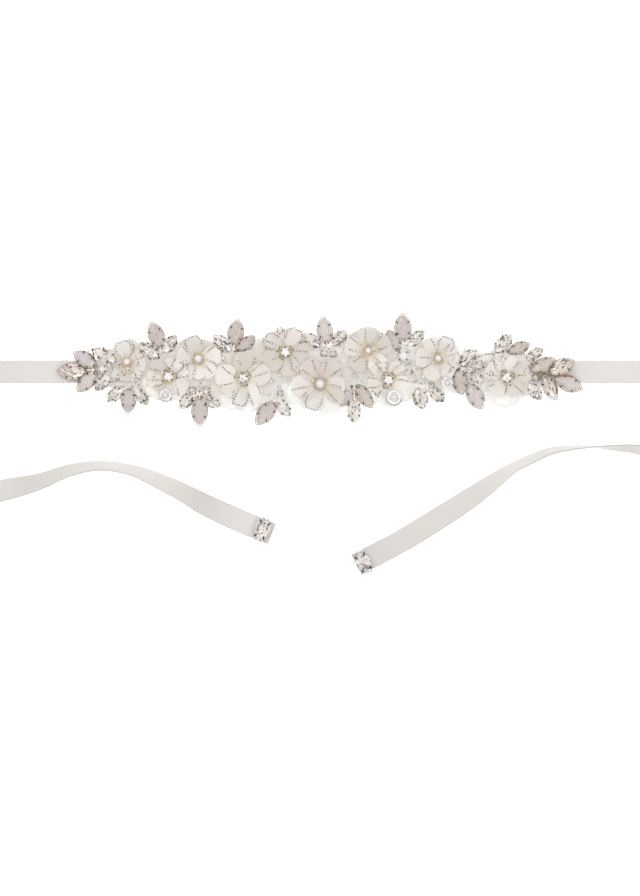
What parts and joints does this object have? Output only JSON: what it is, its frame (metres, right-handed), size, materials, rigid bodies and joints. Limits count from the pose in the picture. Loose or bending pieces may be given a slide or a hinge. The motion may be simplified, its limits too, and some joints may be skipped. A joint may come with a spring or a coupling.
{
  "type": "bridal sash",
  "caption": "Narrow satin ribbon sash with an applique of organza flowers, pearls and navette stones, laid flat with its two ends looped back.",
  "frame": {"origin": "middle of the flat underside of the ribbon, below the middle of the applique", "axes": "+X along the ribbon, to the wearer's left when worn; +Y across it, towards its upper edge; +Z out of its face"},
  "size_m": [0.7346, 0.1884, 0.0127],
  "materials": {
    "ribbon": "ivory satin with a soft sheen",
    "backing": "stiff white organza",
    "petals": "sheer ivory organza",
    "stones": "opal, champagne and clear stones in aged beaded settings",
    "crystal": "faceted clear crystal in a claw setting",
    "pearl": "glossy ivory pearl"
  },
  "bodies": {
    "root": {"ribbon_centre": "ribbon", "ribbon_loop_left": "ribbon", "ribbon_loop_right": "ribbon", "ribbon_tail_left": "ribbon", "ribbon_tail_right": "ribbon", "backing": "backing", "flower_01": "petals", "flower_02": "petals", "flower_03": "petals", "flower_04": "petals", "flower_05": "petals", "flower_06": "petals", "flower_07": "petals", "flower_08": "petals", "flower_09": "petals", "flower_10": "petals", "centre_01": "pearl", "centre_02": "crystal", "centre_03": "pearl", "centre_04": "crystal", "centre_05": "crystal", "centre_06": "pearl", "centre_07": "pearl", "centre_08": "crystal", "centre_09": "pearl", "centre_10": "crystal", "spray_left_tip": "stones", "spray_left_inner": "stones", "spray_low_1": "stones", "spray_high_1": "stones", "spray_low_2": "stones", "spray_high_2": "stones", "spray_low_3": "stones", "spray_high_3": "stones", "spray_high_4": "stones", "spray_low_4": "stones", "spray_low_5": "stones", "spray_low_6": "stones", "stone_01": "stones", "stone_02": "stones", "stone_03": "stones", "stone_04": "stones", "stone_05": "stones", "stone_06": "stones", "stone_07": "stones", "stone_08": "stones", "stone_09": "stones", "stone_10": "stones", "cup_sequin_1": "pearl", "cup_sequin_2": "pearl", "cup_sequin_3": "pearl", "end_stone_left": "crystal", "end_stone_right": "crystal"}
  },
  "joints": []
}
